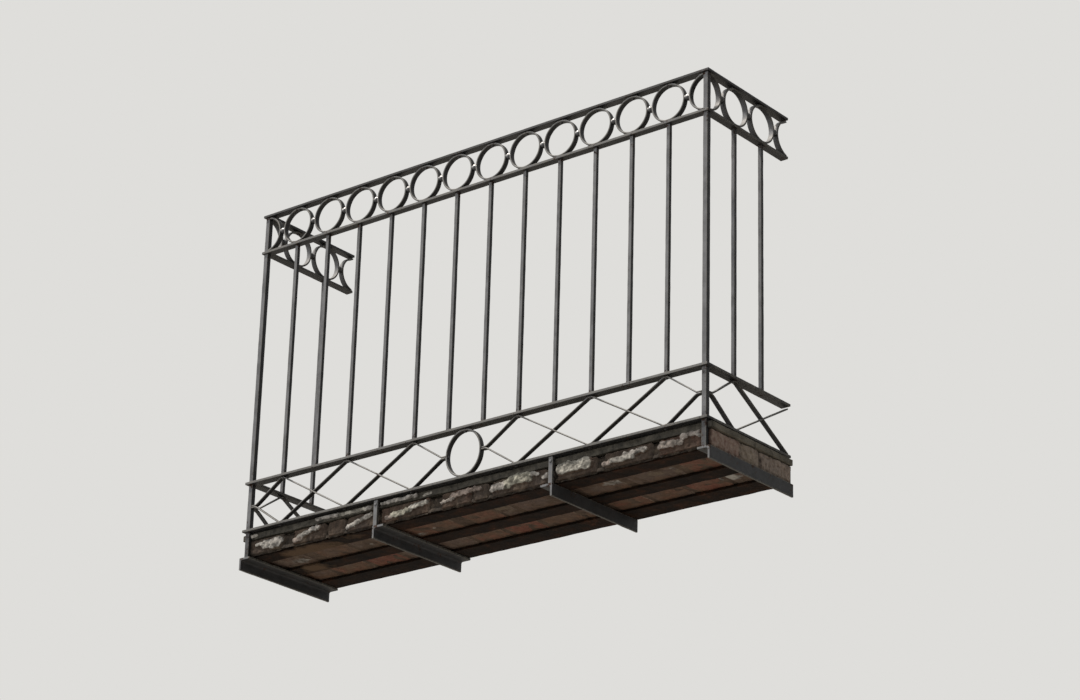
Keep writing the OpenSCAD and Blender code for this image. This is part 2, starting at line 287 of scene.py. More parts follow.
def put(name, shape, material, solid, rust_at=(), rust_reach=0.03):
    """Makes the piece that takes a solid's place, cut level at the back, y = 0, with normals
    weighted by face area. What else the shape holds becomes an attribute, and rust is
    exp(-d / rust_reach), d being the distance to the nearest rusty point."""
    points, quads, triangles = (shape.pop(key) for key in ("points", "quads", "triangles"))
    points[:, 1] = np.minimum(points[:, 1], 0.0)
    mesh = bpy.data.meshes.new(name)
    mesh.from_pydata(points, [], quads.tolist() + triangles.tolist(), shade_flat=False)
    mesh.validate()
    normals = np.zeros_like(points)
    for faces in (quads, triangles):
        p = points[faces]
        n = np.cross(p[:, 2] - p[:, 0], p[:, -1] - p[:, 1])
        for k, axis in np.ndindex(faces.shape[1], 3):
            normals[:, axis] += np.bincount(faces[:, k], n[:, axis], len(points))
    normals /= np.maximum(np.linalg.norm(normals, axis=1), 1e-12)[:, None]
    mesh.normals_split_custom_set_from_vertices(normals)
    shape["rust"] = np.zeros(len(points))
    if len(rust_at):
        d = np.min([np.linalg.norm(points - spot, axis=1) for spot in rust_at], axis=0)
        shape["rust"] = np.exp(-d / rust_reach)
    for label, values in shape.items():
        layer = mesh.attributes.new(label, "FLOAT", "POINT")
        layer.data.foreach_set("value", values.astype(np.float32))
    mesh.materials.append(material)
    piece = show(name, mesh)
    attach(piece, "root")
    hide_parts(solid)


def coat(shader, colour, roughness, mirror, height, strength, depth):
    """Gives a shader its colour, its roughness, how much it mirrors, and the height's relief."""
    relief = add(shader.id_data, "Bump", Height=height, Strength=strength, Distance=depth)
    plug(shader, {"Base Color": colour, "Roughness": roughness, "Specular IOR Level": mirror,
                  "Normal": relief})


def black_oil_paint(name, washed, glossiest, dullest, bare_highlight=0.0, chalk_left_below_rail=1.0, sheen=0.16):
    """Oil paint, brushed on in many coats over wrought iron: near black, chalked grey on the side
    to the street by the share washed, which is partly weathering and partly painted light.
    Street dust lies on what faces up, paint is worn thin on the arrises, and dark rust sits in
    small blisters round the joints. The roughness runs from glossiest to dullest. The share given
    for bare metal of what faces the key light is bright metal: wear, and a painted highlight.
    Below the foot rail only the share given of the chalk is left: shelter from rain, and painted
    shade of the rail. The sheen is how much the surface mirrors."""
    paint, node, shader = finish(name)
    place = node("TexCoord").outputs["Object"]
    normal = node("NewGeometry").outputs["Normal"]
    turned = node("SeparateXYZ", normal).outputs
    height = node("SeparateXYZ", place).outputs["Z"]
    rust_near, arris = (node("Attribute", attribute_name=mark).outputs["Fac"]
                        for mark in ("rust", "edge"))
    chalk = node("TexNoise", place, 1 / 0.045, 5.0, 0.62)
    grit = node("TexNoise", place, 1 / 0.006, 4.0, 0.7)
    blister = node("TexNoise", place, 1 / 0.011, 6.0, 0.68, Distortion=0.4)
    coat_mask = node("MapRange", chalk, 0.38, 0.66)
    black = node("Mix", coat_mask, "#232426", "#37383b", data_type="RGBA")
    # Chalk grey on faces toward the street: weathering, and painted light on those faces.
    street_side = node("MapRange", turned["Y"], -0.25, -0.9)
    patchy = node("MapRange", chalk, 0.35, 0.62, 0.55 * washed, washed)
    # Less chalk, so darker, below the foot rail: shelter from rain, and painted shade of the
    # rail.
    rain_and_shade_mask = node("MapRange", height, 0.050, 0.085, chalk_left_below_rail)
    front_chalk_and_light = node("Math", street_side, rain_and_shade_mask, operation="MULTIPLY")
    chalk_and_light_mask = node("Math", front_chalk_and_light, patchy, operation="MULTIPLY")
    grey = node("Mix", chalk_and_light_mask, black, "#6f7175", data_type="RGBA")
    up_mask = node("MapRange", turned["Z"], 0.15, 0.95)
    dust_mask = node("Math", up_mask, grit, operation="MULTIPLY")
    dusty = node("Mix", dust_mask, grey, "#74726d", data_type="RGBA")
    worn_sum = node("Math", arris, 0.55, grit, operation="MULTIPLY_ADD")
    worn_mask = node("MapRange", worn_sum, 0.93, 1.15, 0.0, 0.7 * washed)
    worn = node("Mix", worn_mask, dusty, "#77756f", data_type="RGBA")
    rust_sum = node("Math", rust_near, 0.22, blister, operation="MULTIPLY_ADD")
    rust_mask = node("MapRange", rust_sum, 0.665, 0.75)
    rust_shade = node("ValToRGB", grit, stops=((0.35, "#241b17"), (0.68, "#452f24")))
    colour = node("Mix", rust_mask, worn, rust_shade, data_type="RGBA")
    # Bright bare metal on what faces the key light: worn paint, and a painted highlight.
    if bare_highlight:
        key_light_facing = node("VectorMath", normal, (-0.35, -0.62, 0.70), operation="DOT_PRODUCT")
        bare_highlight_mask = node("MapRange", key_light_facing, 0.5, 0.8, 0.0, bare_highlight)
        colour = node("Mix", bare_highlight_mask, colour, "#d2d3d4", data_type="RGBA")
        plug(shader, {"Metallic": bare_highlight_mask})
    gloss = node("MapRange", grit, 0.3, 0.7, glossiest, dullest)
    rough = node("Mix", rust_mask, gloss, 0.88)
    brushed = node("Math", grit, 0.35, blister, operation="MULTIPLY_ADD")
    coat(shader, colour, rough, sheen, brushed, 0.5, 0.0006)
    return paint


# Its chalk toward the street is partly painted light; less chalk below the foot rail is partly
# painted shade.
oil_paint = black_oil_paint("weathered_black_oil_paint", 1.0, 0.45, 0.62, chalk_left_below_rail=0.4)
# Hands have kept the top rail from chalking, so it is the darkest and smoothest of the rails.
handled_paint = black_oil_paint("black_oil_paint_smoothed_by_hands", 0.15, 0.38, 0.55)


def rail(name, w, z, solid, seed, paint=oil_paint):
    """A front flat and its two returns: w wide, RAIL_T thick, lower face at z."""
    slab = flat_section(w - 2 * SLACK, RAIL_T - SLACK, 0.0011, step=0.008)
    middle = z + RAIL_T / 2
    front = straight(slab, (-HALF_W - w / 2, FRONT_Y, middle), (HALF_W + w / 2, FRONT_Y, middle),
                     Y, Z, step=0.01, dent_size=0.03, seed=seed)
    put(f"{name}_front", front, paint, f"{solid}_front",
        [(x, FRONT_Y, middle) for x in np.arange(-6.5, 7) * PITCH], 0.02)
    for s, word in SIDES:
        back = straight(slab, (s * HALF_W, FRONT_Y + w / 2 - 0.0003, middle),
                        (s * HALF_W, 0, middle), X, Z, step=0.01, end_r=END_R,
                        dent_size=0.03, seed=seed + s)
        put(f"{name}_{word}", back, paint, f"{solid}_{word}",
            [(s * HALF_W, y, middle) for y in (*(FRONT_Y + np.arange(3) * PITCH), 0)], 0.02)


rail("hand_rail", TOP_RAIL_W, FRIEZE_Z1, "top_rail", 3, handled_paint)
rail("ring_seat_rail", FRIEZE_RAIL_W, BARS_HEAD, "frieze_rail", 7)
rail("bar_seat_rail", LATTICE_RAIL_W, LATTICE_Z1, "lattice_rail", 11)
rail("foot_rail", LATTICE_RAIL_W, BOTTOM_Z, "bottom_rail", 15)

# -------- Posts and upright bars
# Square wrought bars with hammered sides. Each bar ends in a tenon that goes through the rail
# and is peened over. The two thicker posts stand on the outer beams and go up to the top rail.

POST, BAR = 0.016, 0.012
CROSS_BAR_Z0, BARS_FOOT = -0.022, 0.216
post_square = flat_section(POST - SLACK, POST - SLACK, 0.0015, step=0.006)
bar_square = flat_section(BAR - SLACK, BAR - SLACK, 0.0012, step=0.005)


def gather(shapes):
    """Several shapes as one, with the corner numbers of each moved on past the last one's."""
    start = np.cumsum([0] + [len(s["points"]) for s in shapes])
    joined = {}
    for key in shapes[0]:
        parts = [s[key] for s in shapes]
        if key in ("quads", "triangles"):
            parts = [part + first for part, first in zip(parts, start)]
        joined[key] = np.concatenate(parts)
    return joined


def uprights(name, solid, places, square, levels, rust_reach, seed):
    """Square bars at the places, from the first to the last of the levels, rusty at each."""
    bars = [straight(square, (x, y, levels[0]), (x, y, levels[-1]), X, Y,
                     dent=HAMMER_DENT * 1.6, dent_size=0.024, seed=seed + i)
            for i, (x, y) in enumerate(places)]
    put(name, gather(bars), oil_paint, solid, [(x, y, z) for x, y in places for z in levels],
        rust_reach)


for s, word in SIDES:
    uprights(f"post_{word}", f"corner_post_{word}", [(s * HALF_W, FRONT_Y)], post_square,
             (CROSS_BAR_Z0, BOTTOM_Z, LATTICE_Z1, BARS_HEAD, FRIEZE_Z1), 0.03, 20 + s)
    uprights(f"front_bars_{word}", f"balusters_front_{word}",
             [(s * k * PITCH - s * PITCH / 2, FRONT_Y) for k in range(1, 7)], bar_square,
             (BARS_FOOT, BARS_HEAD), 0.028, 30 + 7 * s)
    uprights(f"return_bars_{word}", f"balusters_{word}",
             [(s * HALF_W, FRONT_Y + k * PITCH) for k in (1, 2)], bar_square,
             (BARS_FOOT, BARS_HEAD), 0.028, 50 + 7 * s)

# -------- Ring frieze
# Rings bent from flat bar, one over every upright, riveted to the rails above and below. A ball
# is brazed between each two rings. A half ring meets each post, and the last one is cut level
# with the back.

RING_R, RING_T, RING_W, BALL_R = 0.058, 0.006, 0.018, 0.010
FRIEZE_Z0 = 0.978
FRIEZE_MID = (FRIEZE_Z0 + FRIEZE_Z1) / 2
RINGS_ALONG_FRONT, RINGS_ALONG_RETURN = 14, 4
RIVET_R, RIVET_H = 0.0055, 0.0030
ring_flat = flat_section(RING_W - SLACK, RING_T - SLACK, 0.0020, step=0.005)

# The balls keep the gloss of their last coat, and bright bare metal on the side toward the key
# light gives each a small bright glint: wear, and a painted highlight.
ball_paint = black_oil_paint("glossy_black_oil_paint_highlit_toward_key", 0.55, 0.32, 0.46, 0.72, sheen=0.32)
# Rings and lattice have round edges, worn nearly to the iron: a share of what faces the key
# light is bright bare metal, partly a painted highlight, which draws thin bright lines where
# they face half way between the sun and the eye.
edge_paint = black_oil_paint("black_oil_paint_worn_and_highlit_on_round_edges", 1.0, 0.42, 0.56, 0.15, 0.4)


def dome(seat, axis, radius, height, sides=14):
    """A rivet head: rings of points at radius * cos(a) and height * sin(a) above its seat, with
    a short skirt below the seat that goes into the bar."""
    seat, axis = np.asarray(seat, float), np.asarray(axis, float)
    u = np.cross(axis, Y if axis[0] else X)
    a = np.radians((22.5, 45, 67.5))
    skirt = -0.35
    reach = radius * np.array([0.9, 1.0, *np.cos(a)])[:, None, None]
    rise = height * np.array([skirt, 0.0, *np.sin(a)])[:, None, None]
    turn = np.linspace(0, 2 * np.pi, sides, endpoint=False)[:, None]
    circle = np.cos(turn) * u + np.sin(turn) * np.cross(axis, u)
    shape = skin(seat + reach * circle + rise * axis,
                 (seat + skirt * height * axis, seat + height * axis))
    shape["edge"][:] = 0.4
    return shape


def ring(centre, along, arc, seed):
    """A ring in the plane of along and Z: its middle line is centre + r(a) * (cos a, sin a), a
    over an arc given in degrees. It is pressed flat by 0.3 mm on the rails."""
    full = arc[1] - arc[0] >= 360
    a = np.radians(np.linspace(*arc, int(round((arc[1] - arc[0]) / 5)), endpoint=not full))
    radial = np.cos(a)[:, None] * along + np.sin(a)[:, None] * Z
    r = RING_R + 0.0002 - RING_T / 2 + 0.00025 * np.cos(2 * a + seed)
    shape = carry(ring_flat, centre + r[:, None] * radial, np.cross(Z, along), radial,
                  end_r=END_R, loop=full, dent_size=0.018, seed=seed)
    shape["points"][:, 2] = np.clip(shape["points"][:, 2], FRIEZE_Z0, FRIEZE_Z1)
    return shape


def ball(centre, along, seed):
    """A ball turned about the line of the rings: radius sqrt(R^2 - t^2) at distance t, which
    opens into a small brazed collar where it meets a ring."""
    half = np.array([0.12, 0.25, 0.38, 0.5, 0.58, 0.66, 0.80])
    t = BALL_R * np.concatenate([-half[::-1], [0], half])
    r = np.sqrt(BALL_R ** 2 - np.minimum(np.abs(t), 0.6 * BALL_R) ** 2)
    r = np.where(np.abs(t) > 0.6 * BALL_R, r + 0.0004, r)[:, None, None]
    turn = np.linspace(0, 2 * np.pi, 24, endpoint=False)[:, None]
    circle = np.cos(turn) * np.cross(Z, along) + np.sin(turn) * Z
    middle = (centre + t[:, None] * along)[:, None]
    wobble = 0.00025 * lumps(middle + r * circle, 0.008, seed)
    return skin(middle + (r + wobble[..., None]) * circle)


def frieze(word, centres, along, last_arc, seed):
    """A row of rings, the first a half and the last cut to an arc, with two rivet heads inside
    each whole one, at its foot and at its crown, and a ball before each next ring."""
    rings, balls, last = [], [], len(centres) - 1
    inner = (FRIEZE_Z1 - FRIEZE_Z0) / 2 - RING_T
    for k, centre in enumerate(np.array(centres)):
        rings.append(ring(centre, along, {0: (-82, 82), last: last_arc}.get(k, (0, 360)),
                          seed + k))
        if 0 < k < last:
            rings += [dome(centre - s * inner * Z, s * Z, RIVET_R, RIVET_H) for s in (1, -1)]
        if k < last:
            balls.append(ball(centre + PITCH / 2 * along, along, seed + 20 + k))
    put(f"ring_band_{word}", gather(rings), edge_paint, f"ring_frieze_{word}",
        [(x, y, z) for x, y, _ in centres for z in (FRIEZE_Z0, FRIEZE_Z1)], 0.02)
    put(f"ring_balls_{word}", gather(balls), ball_paint, f"frieze_balls_{word}")


frieze("front", [((k - 6.5) * PITCH, FRONT_Y, FRIEZE_MID) for k in range(RINGS_ALONG_FRONT)], X,
       (98, 262), 60)
for s, word in SIDES:
    frieze(word, [(s * HALF_W, FRONT_Y + k * PITCH, FRIEZE_MID)
                  for k in range(RINGS_ALONG_RETURN)], Y, (100.4, 259.6), 100 + 9 * s)

# -------- Lattice band
# Two flats with rounded edges between the lower rails, bent flat where a rivet holds them to a
# rail and halved into each other where they cross. On the front both run into an oval ring.

LATTICE_T, LATTICE_W, FOOT, LEVEL_END = 0.005, 0.016, 0.012, 0.018
LATTICE_Z0, OVAL_A = 0.064, 0.066
LATTICE_MID, LATTICE_HALF = (LATTICE_Z0 + LATTICE_Z1) / 2, (LATTICE_Z1 - LATTICE_Z0) / 2
lattice_flat = flat_section(LATTICE_W - SLACK, LATTICE_T - SLACK, 0.0022, step=0.005)


def bent(corners, radius=0.006, step=0.01):
    """A path of straight lengths with its corners rounded: each corner is replaced by a
    quadratic curve through it that starts and ends radius away."""
    corners = np.asarray(corners, float)
    path = [corners[:1]]

    def run_to(p):
        start = path[-1][-1]
        count = int(np.ceil(np.linalg.norm(p - start) / step))
        return start + np.linspace(0, 1, count + 1)[1:, None] * (p - start)

    for before, corner, after in zip(corners, corners[1:], corners[2:]):
        u, v = before - corner, after - corner
        a, b = (min(radius, 0.45 * np.linalg.norm(side)) for side in (u, v))
        p, q = corner + a * unit(u), corner + b * unit(v)
        t = np.linspace(0, 1, 5)[:, None]
        path += [run_to(p)[:-1], p * (1 - t) ** 2 + corner * 2 * t * (1 - t) + q * t ** 2]
    return np.concatenate(path + [run_to(corners[-1])])


def lattice_bar(end, spaces, rise, corner, along, deep, seed):
    """One bent flat, from a post at the corner to the end along the rail: level at first, on a
    rail at each of the spaces by turns, and level at last."""
    touch, start = LATTICE_HALF - LATTICE_T / 2, POST / 2
    level = rise * LATTICE_T / 2
    knees = [(start, level), (start + LEVEL_END, level)]
    for i, k in enumerate(spaces):
        height = rise * (-1) ** i * touch
        knees += [(k * PITCH - FOOT / 2, height), (k * PITCH + FOOT / 2, height)]
    level *= -(-1) ** len(spaces)
    line = bent(knees + [(end - LEVEL_END, level), (end, level)])
    line = line[corner[1] + line[:, 0] * along[1] <= 0.004]
    spine, ahead = (v[:, :1] * along + v[:, 1:] * Z for v in (line, np.gradient(line, axis=0)))
    upward = unit(np.cross(ahead, deep))
    upward = upward * np.sign(upward[:, 2:].sum())
    return carry(lattice_flat, corner + spine, deep, upward, end_r=END_R, seed=seed)


def lattice(name, solid, corner, along, deep, end, spaces, riveted, crossings, seed):
    """Two flats that cross, with rivet heads on their feet and under the foot rail, rusty at
    the feet and the crossings."""
    shapes = [lattice_bar(end, spaces, rise, corner, along, deep, seed + rise)
              for rise in (-1, 1)]
    rusty = []
    for rise in (-1, 1):
        for i, k in enumerate(riveted):
            s = rise * (-1) ** i
            foot = corner + k * PITCH * along + s * LATTICE_HALF * Z
            rusty.append(foot)
            shapes.append(dome(foot - s * LATTICE_T * Z, -s * Z, 0.0052, 0.0026))
            if s < 0:
                shapes.append(dome((*foot[:2], BOTTOM_Z), -Z, 0.0060, 0.0028))
    rusty += [corner + k * PITCH * along for k in crossings]
    put(name, gather(shapes), edge_paint, solid, rusty, 0.018)


for s, word in SIDES:
    corner = np.array((s * HALF_W, FRONT_Y, LATTICE_MID))
    lattice(f"front_lattice_{word}", f"lattice_front_{word}", corner, -s * X, Y,
            HALF_W - OVAL_A, (1, 3, 5), (1, 3, 5), (0, 2, 4), 140 + 5 * s)
    lattice(f"return_lattice_{word}", f"lattice_{word}", corner, Y, -s * X,
            5 * PITCH, (1, 3), (1,), (), 160 + 5 * s)

turn = np.linspace(0, 2 * np.pi, 96, endpoint=False)[:, None]
oval = np.cos(turn) * X + np.sin(turn) * Z
half_axes = np.array((OVAL_A - RING_T / 2, 1, LATTICE_HALF - RING_T / 2))
middle = np.array((0, FRONT_Y, LATTICE_MID))
medallion = carry(ring_flat, oval * half_axes + middle, Y, unit(oval / half_axes), loop=True,
                  dent_size=0.018, seed=171)
medallion["points"][:, 2] = np.clip(medallion["points"][:, 2], LATTICE_Z0, LATTICE_Z1)
seats = ((-Z, LATTICE_HALF, RIVET_R), (Z, LATTICE_HALF, RIVET_R), (X, OVAL_A, 0.0050),
         (-X, OVAL_A, 0.0050))
heads = [dome(middle + (reach - RING_T) * way, -way, r, RIVET_H) for way, reach, r in seats]
put("oval_medallion", gather([medallion] + heads), edge_paint, "lattice_medallion",
    [middle + reach * way for way, reach, _ in seats], 0.018)

# -------- Beams and straps
# Four rolled angle irons, built in at the back, carry the deck. The posts and two short straps
# stand on their ends. A rivet goes through each strap into the foot rail's lug.

LEG_W, BEAM_H, BEAM_T, STRAP_T = 0.042, 0.038, 0.007, 0.010
DECK_HALF, DECK_FRONT, STRAP_X = 0.868, -0.382, 0.325
BEAM_END = DECK_FRONT - STRAP_T
# The beams' chalk on faces toward the street is partly painted light.
beam_paint = black_oil_paint("black_oil_paint_dulled_by_soot", 1.0, 0.55, 0.72, sheen=0.32)
strap_flat = flat_section(POST - 0.0003, STRAP_T - 0.0003, 0.0022, step=0.006)
for s, word in SIDES:
    y = DECK_FRONT - STRAP_T / 2
    strap = straight(strap_flat, (s * STRAP_X, y, CROSS_BAR_Z0), (s * STRAP_X, y, BOTTOM_Z),
                     X, Y, dent=HAMMER_DENT * 1.5, seed=180 + s)
    head = dome((s * STRAP_X, BEAM_END + 0.0002, BOTTOM_Z - 0.014), -Y, 0.0052, 0.0028)
    put(f"foot_strap_{word}", gather([strap, head]), beam_paint, f"beam_strap_{word}")

angle = outline([(-BEAM_T, -BEAM_H), (0, -BEAM_H), (0, 0), (-LEG_W, 0), (-LEG_W, -BEAM_T),
                 (-BEAM_T, -BEAM_T)], [0.002, 0.0012, 0.0012, 0.0012, 0.002, 0.005], step=0.006)
for s, x, word in ((-1, DECK_HALF, "outer_left"), (-1, STRAP_X + POST / 2, "inner_left"),
                   (1, STRAP_X + POST / 2, "inner_right"), (1, DECK_HALF, "outer_right")):
    beam = straight(angle, (s * x, 0, CROSS_BAR_Z0), (s * x, BEAM_END, CROSS_BAR_Z0), s * X, Z,
                    step=0.008, end_r=END_R, dent=0.0006, dent_size=0.03,
                    seed=int(190 + 10 * s * x), hub=(-BEAM_T / 2, -BEAM_T / 2))
    put(f"beam_{word}", beam, beam_paint, f"angle_beam_{word}",
        [(s * (x - 0.01), y, CROSS_BAR_Z0) for y in np.linspace(0, BEAM_END, 5)])

# -------- Cross bars and back angle
# Wide flats across the beams carry the bricks. They were painted once; now they are brown with
# rust that has lifted in scales, and their edges are eaten ragged. Their ends are buried in the
# deck's mortar. Mortar has run over the flats. The pale mortar on the faces toward the wall, at
# the back of the angle, is partly mortar and partly painted light on those shaded faces.

MM = 0.001
BARS_Z1, BRICK_Z1 = -0.014, 0.032
CROSS_W, CROSS_T, BACK_LEG = 0.060, 0.008, 0.075
CROSS_FRONT_MID, CROSS_MIDDLE_MID, BURIED = -0.338, -0.18775, 0.008
# Runs of brown mortar over the flats, in mm: middle x and y, half length, half width, strength
MORTAR_RUNS = ((-625, -328, 150, 56, 0.9), (-735, -190, 80, 50, 0.8), (-450, -350, 60, 40, 0.4))

# Rust in scales of 9 mm over what is left of the paint: matt, and nearly black to dark brown,
# pale toward the wall with mortar and painted light.
rusty_paint, node, shader = finish("scaled_rust_on_old_paint")
place = node("TexCoord").outputs["Object"]
turned = node("SeparateXYZ", node("NewGeometry").outputs["Normal"]).outputs
run_over = node("Attribute", attribute_name="lime").outputs["Fac"]
patches = node("TexNoise", place, 1 / 0.05, 7.0, 0.65)
fine = node("TexNoise", place, 1 / 0.003, 4.0)
flakes = node("TexVoronoi", place, 1 / 0.009)
shade = node("ValToRGB", patches,
             stops=((0.36, "#171413"), (0.5, "#231b17"), (0.6, "#31231c"), (0.74, "#4e3125")))
# Pale mortar on faces toward the wall: mortar stuck there, and painted light on these shaded
# faces.
stuck_share = node("MapRange", patches, 0.40, 0.58, 0.1)
back_mortar_and_light_mask = node("MapRange", turned["Y"], 0.5, 0.9, 0.0, stuck_share)
back_mortar_and_light = node("Mix", back_mortar_and_light_mask, shade, "#8d8273", data_type="RGBA")
broken = node("Math", patches, 1.6, run_over, operation="MULTIPLY_ADD")
run_mask = node("MapRange", broken, 1.05, 1.50, 0.0, 0.95)
muddy = node("Mix", run_mask, back_mortar_and_light, "#6c5a4a", data_type="RGBA")
speck = node("MapRange", fine, 0.3, 0.7, 0.75, 1.2)
speckled = node("VectorMath", muddy, speck, operation="SCALE")
scaled = node("Math", flakes, 0.5, patches, operation="MULTIPLY_ADD")
coat(shader, speckled, 0.92, 0.08, scaled, 0.8, 0.0015)


def blots(points, rows, seed):
    """The largest of the rows' ellipses at each point, strength * (1 - (dx / a)^2 - (dy / b)^2),
    after the points have been shifted by smooth noise of 12 mm."""
    p = points + 0.006 * lumps(points, 0.012, seed)[:, None]
    return np.max([strength * np.clip(1 - ((p[:, 0] - x * MM) / (a * MM)) ** 2
                                      - ((p[:, 1] - y * MM) / (b * MM)) ** 2, 0, 1)
                   for x, y, a, b, strength in rows], axis=0)


def eaten(section, y, z, seed, name, solid, hub=None):
    """A flat along the deck, pushed in by up to 1.2 mm, and by 2 mm more at its edges."""
    end = DECK_HALF - BURIED
    flat = straight(section, (-end, y, z), (end, y, z), Y, Z, step=0.007, end_r=0.0015,
                    dent=0.0012, dent_size=0.035, seed=seed, hub=hub)
    p = flat["points"]
    bite = 0.0022 * np.clip(lumps(p, 0.022, seed + 1, 3), 0, 1) * flat["edge"]
    p[:, 1] -= np.sign(p[:, 1] - y) * bite
    flat["lime"] = blots(p, MORTAR_RUNS, seed + 2)
    put(name, flat, rusty_paint, solid)


cross_flat = flat_section(CROSS_W, CROSS_T, 0.0018, step=0.008)
bars_mid = BARS_Z1 - CROSS_T / 2
eaten(cross_flat, CROSS_FRONT_MID, bars_mid, 200, "cross_flat_front", "cross_bar_front")
eaten(cross_flat, CROSS_MIDDLE_MID, bars_mid, 205, "cross_flat_middle", "cross_bar_middle")
angle_iron = outline([(0, CROSS_BAR_Z0), (0, BRICK_Z1), (-CROSS_T, BRICK_Z1),
                      (-CROSS_T, BARS_Z1), (-BACK_LEG, BARS_Z1), (-BACK_LEG, CROSS_BAR_Z0)],
                     [0.0008, 0.0008, 0.002, 0.006, 0.002, 0.0018], step=0.008)
eaten(angle_iron, 0, 0, 210, "wall_angle_iron", "wall_angle", (-CROSS_T / 2, bars_mid))

# -------- Brick course
# Hand-moulded bricks laid flat over the bars, in two rows that meet over the middle bar. The
# lime mortar between them has washed out of the joints below. At the deck's edge bricks and
# mortar have worn into one rough face, with lumps of bleached lime left on it.

BACK_ROW_END = -CROSS_T
ROW_END, ROW_START = -0.188, -0.181
NOSE_Y, NOSE_X, CORNER_R = DECK_FRONT + 0.003, DECK_HALF - 0.003, 0.008
NOSE_DEEP, END_DEEP = -0.358, 0.846
# How deep the joints of the front and of the two ends are washed out
JOINT_DEEP, END_JOINT_DEEP = 0.007, 0.002
# From the left, in mm: a brick's two sides and its tone, which runs from red to straw
FRONT_ROW = {
    "left": ((-900, -703, 0.72), (-664, -531, 0.50), (-523, -457, 0.58), (-447, -336, 0.62)),
    "middle": ((-316, -130, 0.45), (-84, 28, 0.40), (36, 90, 0.75), (102, 306, 0.62)),
    "right": ((336, 478, 0.55), (500, 668, 0.66), (688, 900, 0.38)),
}
BACK_ROW = {
    "left": ((-900, -746, 0.58), (-735, -600, 0.48), (-589, -462, 0.22), (-450, -328, 0.75)),
    "middle": ((-318, -192, 0.66), (-181, -64, 0.42), (-52, 72, 0.30), (84, 208, 0.52),
               (219, 321, 0.62)),
    "right": ((330, 452, 0.40), (463, 590, 0.56), (601, 722, 0.28), (733, 900, 0.64)),
}
# The bricks seen at the deck's two ends, in mm from the front to the back, with their tones
END_ROW = ((-400, -246, 0.05), (-239, -158, 0.90), (-150, 20, 0.62))
# Each lump of lime on the front: its path in mm (x and height by turns), half its height, how
# far it stands out, and its tint, from pink with brick dust (-1) to green with lichen (1)
LIME_LUMPS = {
    "left": (
        ((-812, 15, -790, 13), 7, 6, 0.0),
        ((-776, 8, -740, 6, -716, 8), 17, 9, 0.0),
        ((-655, -1, -632, 2), 10, 7, -0.5),
        ((-640, 6, -610, 13, -580, 20, -556, 18), 9, 8, 0.0),
        ((-448, -2, -425, 1), 8, 5, 0.0),
        ((-430, 3, -400, 9, -370, 17, -350, 21), 9, 7, 0.1),
    ),
    "middle": (
        ((-292, -1, -270, -3), 7, 6, -0.5),
        ((-270, 2, -235, 3, -205, 5), 11, 7, 0.5),
        ((-200, 10, -170, 15, -140, 18), 10, 8, 0.2),
        ((-82, 4, -55, 6, -35, 9), 6, 5, -0.3),
        ((-45, 15, -12, 18, 30, 20, 60, 19), 9, 7, -0.6),
        ((106, 9, 125, 10, 152, 7), 13, 8, -0.1),
        ((160, 10, 185, 18, 215, 17, 240, 16), 17, 10, 0.5),
        ((252, 22, 268, 20), 8, 7, 0.0),
        ((290, 5, 303, 9), 8, 6, 0.0),
    ),
    "right": (
        ((354, 16, 400, 17, 444, 16), 20, 10, 0.25),
        ((500, 1, 520, 1), 9, 6, -0.5),
        ((530, 4, 560, 3, 600, 5), 10, 8, 0.1),
        ((575, 12, 610, 13, 645, 15), 9, 9, -0.1),
        ((695, 13, 715, 12, 735, 12), 13, 8, -0.4),
        ((742, 11, 765, 9), 8, 7, -0.3),
        ((770, 22, 790, 26, 818, 27), 10, 7, -0.3),
        ((818, 20, 826, 16), 6, 6, 0.0),
    ),
}
# Smears of lime under the bricks, in mm: middle x and y, half length, half width, strength
UNDER_SMEARS = ((743, -123, 36, 24, 3.0), (-743, -246, 60, 32, 0.42), (-478, -240, 45, 30, 0.36),
                (-410, -205, 40, 24, 0.36), (-280, -235, 40, 22, 0.4), (-215, -250, 30, 20, 0.3),
                (457, -272, 65, 28, 0.42), (667, -272, 35, 24, 0.36))


def worn_block(lo, hi, radii, steps, end_r, wear, seed, tone=0.0):
    """A block between two corners, carried along X, with its edges rounded by radii. Each end
    is filled by smaller and smaller rings. Points are pushed towards the nearest faces' inside
    by smooth noise of 30 mm and 8 mm."""
    lo, hi = np.asarray(lo, float), np.asarray(hi, float)
    section = outline([(lo[1], lo[2]), (hi[1], lo[2]), (hi[1], hi[2]), (lo[1], hi[2])], radii,
                      steps, arc=4)
    s = stations(hi[0] - lo[0], min(steps), end_r)
    swept = carry(section, (lo[0] + s)[:, None] * X, Y, Z, end_r=end_r, dent=0.0)["points"]
    grid = swept[:-2].reshape(len(s), -1, 3)
    share = np.linspace(0.1, 0.9, 8)[:, None, None]
    first, last = grid[0].mean(0), grid[-1].mean(0)
    block = skin(np.concatenate([first + (grid[0] - first) * share, grid,
                                 last + (grid[-1] - last) * share[::-1]]))
    points = block["points"]
    inward = (lo + hi - 2 * points) / (hi - lo)
    inward = np.sign(inward) * np.abs(inward) ** 4
    inward /= np.maximum(np.linalg.norm(inward, axis=1), 1e-9)[:, None]
    push = wear * (0.5 + 0.5 * np.clip(lumps(points, 0.030, seed), -1, 1)
                   + 0.45 * np.clip(lumps(points, 0.008, seed + 1), 0, 1))
    block["points"] = points + inward * push[:, None]
    block["tone"][:] = tone
    return block


def ease(value, low, high):
    """From 0 at low to 1 at high, by t * t * (3 - 2 * t)."""
    t = np.clip((value - low) / (high - low), 0, 1)
    return t * t * (3 - 2 * t)


